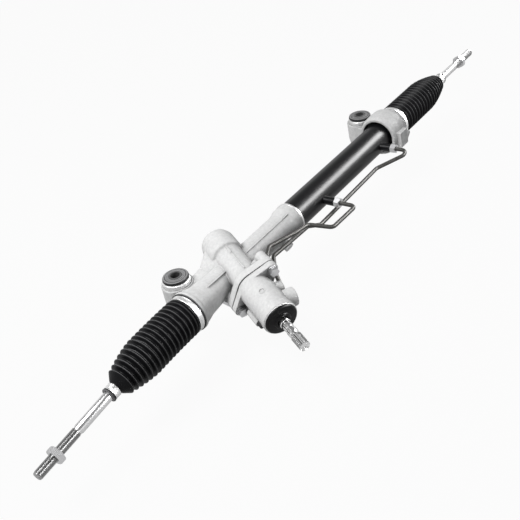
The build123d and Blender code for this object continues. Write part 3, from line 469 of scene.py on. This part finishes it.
def boot_stretch(side, begin, stop):
    """One length of the bellows' wall, from distance begin to stop; None is the boot's own end."""
    shape, length, step = BOOT_SHAPE[side], boot_length(side), fold_step(side)
    first, last = begin or PLAIN, stop or length - CONE
    count = round((last - first) / step * FOLD_POINTS)
    outer = []
    for k in range(count + 1):
        s = first + (last - first) * k / count
        pull = max(0.0, 1 - (length - CONE - s) / (TAPERED * step)) ** 1.5
        crest = (0.5 + 0.5 * cos(2 * pi * (s - PLAIN) / step)) ** 1.5
        depth = (FOLD_DEPTH + SHARPER * pull) * (1 - crest)
        outer.append((BOOT_R - (BOOT_R - shape["rim"]) * pull - depth, s))
    inner = [(r - BOOT_WALL, s) for r, s in outer[::2]]
    if begin is None:
        outer = [(SPIGOT_FIT, 0.4 - SPIGOT), (BEAD_R - 0.2, 0.4 - SPIGOT), (BEAD_R, 1.2 - SPIGOT),
                 (BEAD_R - 0.6, 2.3 - SPIGOT), (SEAT_R, 2.4 - SPIGOT), (SEAT_R, -2.6), (SEAT_R + 0.8, -1.8),
                 (SEAT_R + 1, -0.4), (SEAT_R - 0.8, 1.2)] + outer
        inner = [(SPIGOT_FIT, 1.2)] + inner
    if stop is None:
        outer += [(shape["rim"] - 0.6, last + 0.7), (12.8, length - 1.6), (10.6, length - 0.2),
                  (CUFF_R, length + 0.8), (CUFF_R, length + CUFF_LEN - 2.8),
                  (CUFF_BEAD - 0.2, length + CUFF_LEN - 2.2), (CUFF_BEAD, length + CUFF_LEN - 0.8),
                  (CUFF_BEAD - 0.6, length + CUFF_LEN), (CUFF_FIT, length + CUFF_LEN)]
        inner += [(10.2, length - 3.0), (7.5, length - 0.4), (CUFF_FIT, length + 0.4)]
    bm = turned(outer + inner[::-1], "X", 88)
    for v in bm.verts:
        centre, lean = boot_axis(side, v.co.x / MM)
        up = Vector((-shape["out"] * sin(lean), 0, cos(lean)))
        v.co = centre * MM + up * v.co.z + Vector((0, v.co.y, 0))
    bmesh.ops.recalc_face_normals(bm, faces=bm.faces)
    return bm


def blend_between(piece, side, body_a, body_b, begin, stop):
    """Blends across a joint from just inside one end ring of the piece to just inside the other."""
    ends = []
    for s, inside in ((begin, 1.0), (stop, -1.0)):
        centre, lean = boot_axis(side, s)
        ends.append((centre + Vector((BOOT_SHAPE[side]["out"] * cos(lean), 0, sin(lean))) * inside) * MM)
    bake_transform(piece, body_a, body_b, start=ends[0], end=ends[1])


for side, shape in BOOT_SHAPE.items():
    slide, sweep = valley(side, shape["slide"]), valley(side, shape["sweep"])
    rise = boot_length(side) - CUFF_AT + shape["rise"]
    for name, begin, stop, body_a, body_b in (("_boot_folds", None, slide, "housing", "rack"),
                                              ("_boot_waist", slide, sweep, "rack", side + "_seat"),
                                              ("_boot_cone", sweep, None, side + "_seat", side + "_rod")):
        piece = add_piece(side + name, boot_stretch(side, begin, stop), boot_rubber, None, "boot_rubber",
                          side + "_boot", sharp=50)
        blend_between(piece, side, body_a, body_b, begin or 0.0, stop or rise)


# ---- Boot clamps ----
# Stainless bands hold the boots: a wide one crimped tight on each big end, with its crimp turned underneath,
# and a narrow one on each cuff whose crimp stands up.

WIDE_BAND, NARROW_BAND, SLACK = 1.15, 0.9, 0.05     # thicknesses, and the gap left between band and boot
CRIMP_LEN, CRIMP_ROOT, CRIMP_ROUND = 2.6, 0.8, 0.5  # length round the band, buried root, rounded edges
clamp_steel = finish("clamp_steel", (0.9, 0.9, 0.9, 1), (0.82, 0.82, 0.82, 1), (0.34, 0.44),
                     70, 1400, 0.001 * MM, metallic=0.8)


def clamp_band(inside, outside, first, last, crimp_height, crimp_turn):
    """Ring with rolled edges along X and a bevelled crimp at an angle from +Z towards +Y."""
    bm = turned([(inside, first + 0.3), (inside, last - 0.3), (inside + 0.3, last), (outside - 0.1, last),
                 (outside + 0.15, last - 0.4), (outside + 0.1, last - 0.9), (outside - 0.15, last - 1.3),
                 (outside - 0.15, first + 1.3), (outside + 0.1, first + 0.9), (outside + 0.15, first + 0.4),
                 (outside - 0.1, first), (inside + 0.3, first)], "X", 96)
    width = last - first - 1.4
    crimp = bmesh.ops.create_cube(bm, size=1)["verts"]
    bmesh.ops.scale(bm, verts=crimp, vec=Vector((width, CRIMP_LEN, crimp_height + CRIMP_ROOT)) * MM)
    bmesh.ops.translate(bm, verts=crimp,
                        vec=Vector(((first + last) / 2, 0, outside + (crimp_height - CRIMP_ROOT) / 2)) * MM)
    edges = [edge for edge in bm.edges if edge.verts[0] in crimp and edge.verts[1] in crimp]
    bmesh.ops.bevel(bm, geom=edges, offset=CRIMP_ROUND * MM, offset_type="OFFSET", segments=3, profile=0.5,
                    affect="EDGES", material=-1)
    bmesh.ops.rotate(bm, verts=bm.verts, cent=(0, 0, 0), matrix=Matrix.Rotation(-crimp_turn, 3, "X"))
    return bm


def set_on_boot(bm, side, s):
    """Moves a ring drawn round X to distance s along the boot's axis."""
    centre, lean = boot_axis(side, s)
    turn = Matrix.Rotation(-lean, 4, "Y")
    if BOOT_SHAPE[side]["out"] < 0:
        turn = Matrix.Rotation(pi, 4, "Z") @ turn
    bm.transform(Matrix.Translation(centre * MM) @ turn)
    bmesh.ops.recalc_face_normals(bm, faces=bm.faces)
    return bm


for side, shape in BOOT_SHAPE.items():
    inside = SEAT_R + SLACK
    wide = clamp_band(inside, inside + WIDE_BAND, 2.6 - SPIGOT, 11.0 - SPIGOT, 2.4, radians(200))
    add_piece(side + "_big_clamp_band", set_on_boot(wide, side, 0), clamp_steel, "housing", "zinc_steel",
              side + "_big_clamp")
    inside = CUFF_R + SLACK
    narrow = clamp_band(inside, inside + NARROW_BAND, 2.4, 11.6, 3.2, radians(-20 * shape["out"]))
    add_piece(side + "_small_clamp_band", set_on_boot(narrow, side, boot_length(side)), clamp_steel,
              side + "_rod", "zinc_steel", side + "_small_clamp")


# ---- Tie rods ----
# A forged and zinc plated rod with its ball runs out of each boot. Its outer end has a rolled thread, and a
# jam nut on it locks the track rod end that screws on.

BALL_R, BALL_NECK, ROD_R, GROOVE_R, ROD_LEN = 12.0, 6.5, 7.2, 6.8, 222.0
THREAD_R, THREAD_ROOT, PITCH, THREAD_FROM = 6.98, 6.2, 1.5, 150.0
THREAD_STEPS, CREST = 28, 0.07       # steps in one turn of the thread, and half its crest's width
rod_steel = finish("rod_steel", (0.86, 0.86, 0.86, 1), (0.74, 0.74, 0.75, 1), (0.2, 0.3),
                   60, 1000, 0.0005 * MM, metallic=1.0)
thread_steel = finish("thread_steel", (0.42, 0.42, 0.42, 1), (0.34, 0.34, 0.34, 1), (0.2, 0.3),
                      60, 1000, 0.0005 * MM, metallic=1.0)
nut_steel = finish("nut_steel", (0.78, 0.78, 0.79, 1), (0.66, 0.66, 0.67, 1), (0.24, 0.36),
                   90, 1000, 0.006 * MM, metallic=1.0)


def screw_thread(first, last):
    """Helical ridge round X from first to last, drawn as a turning triangle with a blunt crest."""
    bm = bmesh.new()
    corners = [bm.verts.new(Vector((first + x, 0, r)) * MM) for x, r in
               ((0.0, THREAD_ROOT - 0.2), (PITCH / 2 - CREST, THREAD_R), (PITCH / 2 + CREST, THREAD_R),
                (PITCH, THREAD_ROOT - 0.2))]
    for a, b in zip(corners, corners[1:] + corners[:1]):
        bm.edges.new((a, b))
    turns = int((last - first) / PITCH - 1)
    bmesh.ops.spin(bm, geom=bm.verts[:] + bm.edges[:], cent=(0, 0, 0), axis=(1, 0, 0),
                   dvec=(PITCH / THREAD_STEPS * MM, 0, 0), angle=2 * pi * turns, steps=THREAD_STEPS * turns)
    bmesh.ops.holes_fill(bm, edges=[edge for edge in bm.edges if edge.is_boundary], sides=4)
    bmesh.ops.recalc_face_normals(bm, faces=bm.faces)
    return bm


def joined(bm, other):
    """Adds another bmesh's faces to bm."""
    mesh = bpy.data.meshes.new("part")
    other.to_mesh(mesh)
    other.free()
    bm.from_mesh(mesh)
    bpy.data.meshes.remove(mesh)
    return bm


def rod_outline():
    """Outline of the ball, its neck, the cuff's groove and the shank, from the ball outwards."""
    ball = [(BALL_R * sin(pi * k / 18), -BALL_R * cos(pi * k / 18)) for k in range(15)]
    neck = [(BALL_NECK, BALL_R - 0.5), (BALL_NECK, 22), (ROD_R, 26)]
    groove = [(ROD_R, CUFF_AT - 1), (GROOVE_R, CUFF_AT - 0.6), (GROOVE_R, CUFF_AT + CUFF_LEN + 0.6),
              (ROD_R, CUFF_AT + CUFF_LEN + 1)]
    end = [(ROD_R, THREAD_FROM - 4), (THREAD_ROOT, THREAD_FROM - 1.5), (THREAD_ROOT, THREAD_FROM),
           (0.0, THREAD_FROM)]
    return ball + neck + groove + end


for side, shape in BOOT_SHAPE.items():
    core = turned([(0.0, THREAD_FROM), (THREAD_ROOT, THREAD_FROM), (THREAD_ROOT, ROD_LEN - 1.2),
                   (THREAD_ROOT - 1, ROD_LEN), (2.2, ROD_LEN), (1.2, ROD_LEN - 1.2),
                   (0.0, ROD_LEN - 1.4)], "X", 48)
    thread = joined(core, screw_thread(THREAD_FROM, ROD_LEN - 1.2))
    turn = Matrix.Rotation(0 if shape["out"] > 0 else pi, 4, "Z") @ Matrix.Rotation(shape["droop"], 4, "Y")
    for name, bm, material in (("_tie_rod_forged", turned(rod_outline(), "X", 48), rod_steel),
                               ("_tie_rod_thread", thread, thread_steel)):
        bm.transform(Matrix.Translation(Vector((BALL_X[side], RACK_Y, 0)) * MM) @ turn)
        add_piece(side + name, bm, material, side + "_rod", "zinc_steel", side + "_tie_rod", sharp=28)
    add_piece(side + "_jam_nut_pressed", copy_of(side + "_jam_nut"), nut_steel, side + "_rod", "zinc_steel",
              side + "_jam_nut")


# ---- Input shaft ----
# A ground steel shaft stands out of the valve housing through a rubber dust cover, which a thin ring holds.
# Its end has the fine serrations and the groove for the steering joint's clamp bolt.

SHAFT_BORE, SHAFT_R, LAND_R, SHAFT_FOOT, SHAFT_TOP = 2.95, 8.0, 10.9, 50.5, 175.0
SPLINE_T0, SPLINE_T1, SERRATIONS, TROUGH = 174.0, 195.0, 36, 0.95   # TROUGH is a share of the shaft's radius
COVER_BORE, COVER_R, COVER_FOOT, COVER_TOP = 8.3, 24.4, 131.0, 142.0
RING_R, RING_T0, RING_T1 = 25.7, 134.0, 135.3
shaft_chrome = finish("shaft_chrome", (0.94, 0.94, 0.94, 1), (0.88, 0.88, 0.88, 1), (0.1, 0.18),
                      60, 900, 0.003 * MM, metallic=1.0)
cover_rubber = finish("cover_rubber", (0.006, 0.006, 0.007, 1), (0.012, 0.012, 0.013, 1), (0.25, 0.38),
                      60, 1300, 0.01 * MM, gloss=0.15)
shaft = turned([(SHAFT_BORE, SHAFT_FOOT), (SHAFT_R, SHAFT_FOOT), (SHAFT_R, 60.3), (LAND_R, 60.3),
                (LAND_R, 111.5), (SHAFT_R, 111.5), (SHAFT_R, 146.4), (7.6, 147.0), (7.1, 147.2), (7.1, 157.2),
                (6.3, 158.0), (6.3, 161.2), (7.4, 162.0), (7.4, 168.0), (6.2, 169.5), (6.2, 172.5),
                (7.0, 173.2), (7.0, SHAFT_TOP), (SHAFT_BORE, SHAFT_TOP)], "Z", 64)
spline = bmesh.new()
bmesh.ops.create_cone(spline, segments=2 * SERRATIONS, radius1=SHAFT_R * MM, radius2=SHAFT_R * MM,
                      depth=(SPLINE_T1 - SPLINE_T0) * MM, cap_ends=True)
bmesh.ops.translate(spline, verts=spline.verts, vec=(0, 0, (SPLINE_T0 + SPLINE_T1) / 2 * MM))
for v in spline.verts:
    if round(atan2(v.co.y, v.co.x) / (pi / SERRATIONS)) % 2:
        v.co.xy *= TROUGH
# Both ends are chamfered, and the outer one has the lathe's small centre hole
for cap in [face for face in spline.faces if len(face.verts) > 4]:
    outward = 1 if cap.calc_center_median().z > SPLINE_T1 * MM - 1e-4 else -1
    rim = cap.verts[:]
    bmesh.ops.inset_region(spline, faces=[cap], thickness=1.5 * MM, use_even_offset=False)
    bmesh.ops.translate(spline, verts=rim, vec=(0, 0, -outward * 1.3 * MM))
    if outward > 0:
        bmesh.ops.inset_region(spline, faces=[cap], thickness=2.6 * MM, use_even_offset=False)
        bmesh.ops.inset_region(spline, faces=[cap], thickness=0.4 * MM, depth=-0.9 * MM,
                               use_even_offset=False)
shaft = joined(shaft, spline)
shaft.transform(TOWER)
add_piece("input_shaft_ground", shaft, shaft_chrome, "input", "bright_steel", "input_shaft", sharp=30)

cover = turned([(COVER_BORE, COVER_FOOT), (COVER_R - 0.1, COVER_FOOT), (COVER_R, 136.0),
                (COVER_R - 0.4, 137.4), (22.8, 138.7), (21.0, 139.3), (14.6, 139.5), (13.2, 139.9),
                (12.4, 141.2), (11.6, 141.9), (10.2, COVER_TOP), (9.2, 141.4), (COVER_BORE, 140.4)], "Z", 88)
cover.transform(TOWER)
add_piece("dust_cover_moulded", cover, cover_rubber, "housing", "cover_rubber", "dust_cover", sharp=40)
ring = turned([(COVER_R + 0.05, RING_T0), (RING_R - 0.2, RING_T0), (RING_R, RING_T0 + 0.3),
               (RING_R, RING_T1 - 0.3), (RING_R - 0.3, RING_T1), (COVER_R + 0.05, RING_T1)], "Z", 96)
ring.transform(TOWER)
add_piece("cover_ring_rolled", ring, bush_steel, "housing", "zinc_steel", "cover_ring")


# ---- Pipes, bolts and inner parts ----
# Two bent steel lines with a dark coating run from the cylinder's ports to the valve, with hexagon flare
# nuts. The parts inside the castings are ground, plated or moulded, and show only through openings.

SLIMMER = 0.7       # how far a line's skin lies inside the CAD's outline
pipe_coat = finish("pipe_coat", (0.06, 0.059, 0.056, 1), (0.1, 0.098, 0.094, 1), (0.4, 0.5),
                   60, 900, 0.004 * MM, metallic=0.4, gloss=0.2)
# Painted shade: the plated parts are darkened in creases and corners, where shade falls
zinc_plate = finish("zinc_plate", (0.82, 0.82, 0.83, 1), (0.7, 0.7, 0.71, 1), (0.26, 0.4),
                    70, 1100, 0.002 * MM, metallic=1.0, crease_shade=1.0)
gear_steel = finish("gear_steel", (0.55, 0.55, 0.55, 1), (0.45, 0.45, 0.46, 1), (0.22, 0.36),
                    90, 900, 0.01 * MM, metallic=1.0)
seal_rubber = finish("seal_rubber", (0.02, 0.02, 0.021, 1), (0.035, 0.035, 0.036, 1), (0.42, 0.6),
                     60, 1300, 0.03 * MM)
nylon = finish("nylon", (0.62, 0.6, 0.54, 1), (0.55, 0.53, 0.48, 1), (0.4, 0.55), 60, 900, 0.02 * MM)
SLOT_FINISH = {"cast_aluminium": cast_aluminium, "black_tube": tube_paint, "bush_rubber": bush_rubber,
               "bush_steel": bush_steel, "boot_rubber": boot_rubber, "cover_rubber": cover_rubber,
               "seal_rubber": seal_rubber, "bright_steel": shaft_chrome, "zinc_steel": zinc_plate,
               "pipe_steel": pipe_coat, "gear_steel": gear_steel, "bearing_steel": gear_steel,
               "plastic": nylon, "black_plastic": seal_rubber}
for part in frame["record"]["subparts"]:
    node = frame["nodes"][part["node"]]
    node.data.materials.clear()
    node.data.materials.append(SLOT_FINISH[part["material_slot"]])
for node in ("short_pipe", "long_pipe"):
    bm = copy_of(node)
    for v in bm.verts:
        v.co -= v.normal * SLIMMER * MM
    add_piece(node + "_bent", bm, pipe_coat, "housing", "pipe_steel", node, sharp=60)
for node in ("flare_nuts", "flange_bolts"):
    add_piece(node + "_plated", copy_of(node), zinc_plate, "housing", "zinc_steel", node, sharp=30)


# ---- Studio ----
# A plain pale floor lies under the part. A large key lamp hangs above it to the left, a weak fill stands to
# the right, and a long strip lamp beside the fill draws the highlight along the black cylinder.

FLOOR_SIZE, FLOOR_DROP = 40, 0.03    # metres: half the floor's width, and how far it lies below the part
TARGET = Vector((0.22, -0.06, 0))    # what the lamps point at
CAMERA_AT, CAMERA_LENS = (-0.6207, -0.760, 0.677), 56.64
LOOK, UPRIGHT = Vector((0.601, 0.571, -0.559)).normalized(), Vector((0.549, 0.213, 0.808))

floor_mesh = bmesh.new()
bmesh.ops.create_grid(floor_mesh, x_segments=1, y_segments=1, size=FLOOR_SIZE)
bmesh.ops.translate(floor_mesh, verts=floor_mesh.verts, vec=(0, 0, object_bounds()[0][2] - FLOOR_DROP))
floor_data = bpy.data.meshes.new("floor")
floor_mesh.to_mesh(floor_data)
floor_mesh.free()
floor = bpy.data.objects.new("floor", floor_data)
bpy.context.scene.collection.objects.link(floor)


def backdrop(tree, diffuse, background, target, glossy):
    """Camera rays, and mirror rays by the share glossy, see plain white; other light is the lamps'."""
    nodes, links = tree.nodes, tree.links
    path, mix = nodes.new("ShaderNodeLightPath"), nodes.new("ShaderNodeMixShader")
    mirrored, either = nodes.new("ShaderNodeMath"), nodes.new("ShaderNodeMath")
    mirrored.operation = "MULTIPLY"
    mirrored.inputs[1].default_value = glossy
    either.operation = "MAXIMUM"
    links.new(path.outputs["Is Glossy Ray"], mirrored.inputs[0])
    links.new(path.outputs["Is Camera Ray"], either.inputs[0])
    links.new(mirrored.outputs[0], either.inputs[1])
    links.new(either.outputs[0], mix.inputs["Fac"])
    links.new(diffuse, mix.inputs[1])
    links.new(background, mix.inputs[2])
    links.new(mix.outputs[0], target)


floor_material = bpy.data.materials.new("pale_floor")
floor_material.use_nodes = True
nodes, links = floor_material.node_tree.nodes, floor_material.node_tree.links
paint = nodes["Principled BSDF"]
paint.inputs["Base Color"].default_value = (0.35, 0.35, 0.35, 1)
paint.inputs["Roughness"].default_value = 0.9
glow, shown = nodes.new("ShaderNodeEmission"), nodes.new("ShaderNodeMixShader")
glow.inputs["Color"].default_value = (1, 1, 1, 1)
shown.inputs["Fac"].default_value = 0.95
links.new(paint.outputs[0], shown.inputs[1])
links.new(glow.outputs[0], shown.inputs[2])
backdrop(floor_material.node_tree, paint.outputs[0], shown.outputs[0],
         nodes["Material Output"].inputs["Surface"], 0.35)
floor_data.materials.append(floor_material)

world = bpy.data.worlds.new("studio")
bpy.context.scene.world = world
world.use_nodes = True
nodes, links = world.node_tree.nodes, world.node_tree.links
soft, white = nodes["Background"], nodes.new("ShaderNodeBackground")
soft.inputs["Color"].default_value = (0.98, 0.99, 1, 1)
soft.inputs["Strength"].default_value = 0.2
white.inputs["Color"].default_value = (1, 1, 1, 1)
direction, height = nodes.new("ShaderNodeTexCoord"), nodes.new("ShaderNodeSeparateXYZ")
ceiling = nodes.new("ShaderNodeMapRange")       # white at the horizon, dimmer overhead
ceiling.interpolation_type = "SMOOTHSTEP"
ceiling.inputs["From Min"].default_value = 0.1
ceiling.inputs["From Max"].default_value = 0.6
ceiling.inputs["To Min"].default_value = 1.0
ceiling.inputs["To Max"].default_value = 0.22
links.new(direction.outputs["Generated"], height.inputs[0])
links.new(height.outputs["Z"], ceiling.inputs["Value"])
links.new(ceiling.outputs["Result"], white.inputs["Strength"])
backdrop(world.node_tree, soft.outputs[0], white.outputs[0], nodes["World Output"].inputs["Surface"], 1.0)

for name, place, length, width, watts in (("key", (-0.6, 0.3, 1.6), 0.9, 0.9, 33),
                                          ("fill", (0.9, -1.5, 1.0), 1.2, 1.2, 0.8),
                                          ("strip", (1.25, -1.1, 0.74), 2.4, 0.5, 95)):
    lamp = bpy.data.lights.new(name, "AREA")
    lamp.shape = "RECTANGLE"
    lamp.size = length
    lamp.size_y = width
    lamp.energy = watts
    stand = bpy.data.objects.new(name, lamp)
    stand.location = place
    stand.visible_diffuse = name != "strip"     # the strip only draws highlights
    stand.rotation_euler = (TARGET - Vector(place)).to_track_quat("-Z", "Y").to_euler()
    bpy.context.scene.collection.objects.link(stand)

camera_data = bpy.data.cameras.new("camera")
camera_data.lens = CAMERA_LENS
camera_data.sensor_width = 36
camera = bpy.data.objects.new("camera", camera_data)
across = LOOK.cross(UPRIGHT).normalized()
camera.matrix_world = (Matrix.Translation(CAMERA_AT)
                       @ Matrix((across, across.cross(LOOK), -LOOK)).transposed().to_4x4())
bpy.context.scene.collection.objects.link(camera)
bpy.context.scene.camera = camera
bpy.context.scene.view_settings.view_transform = "Standard"
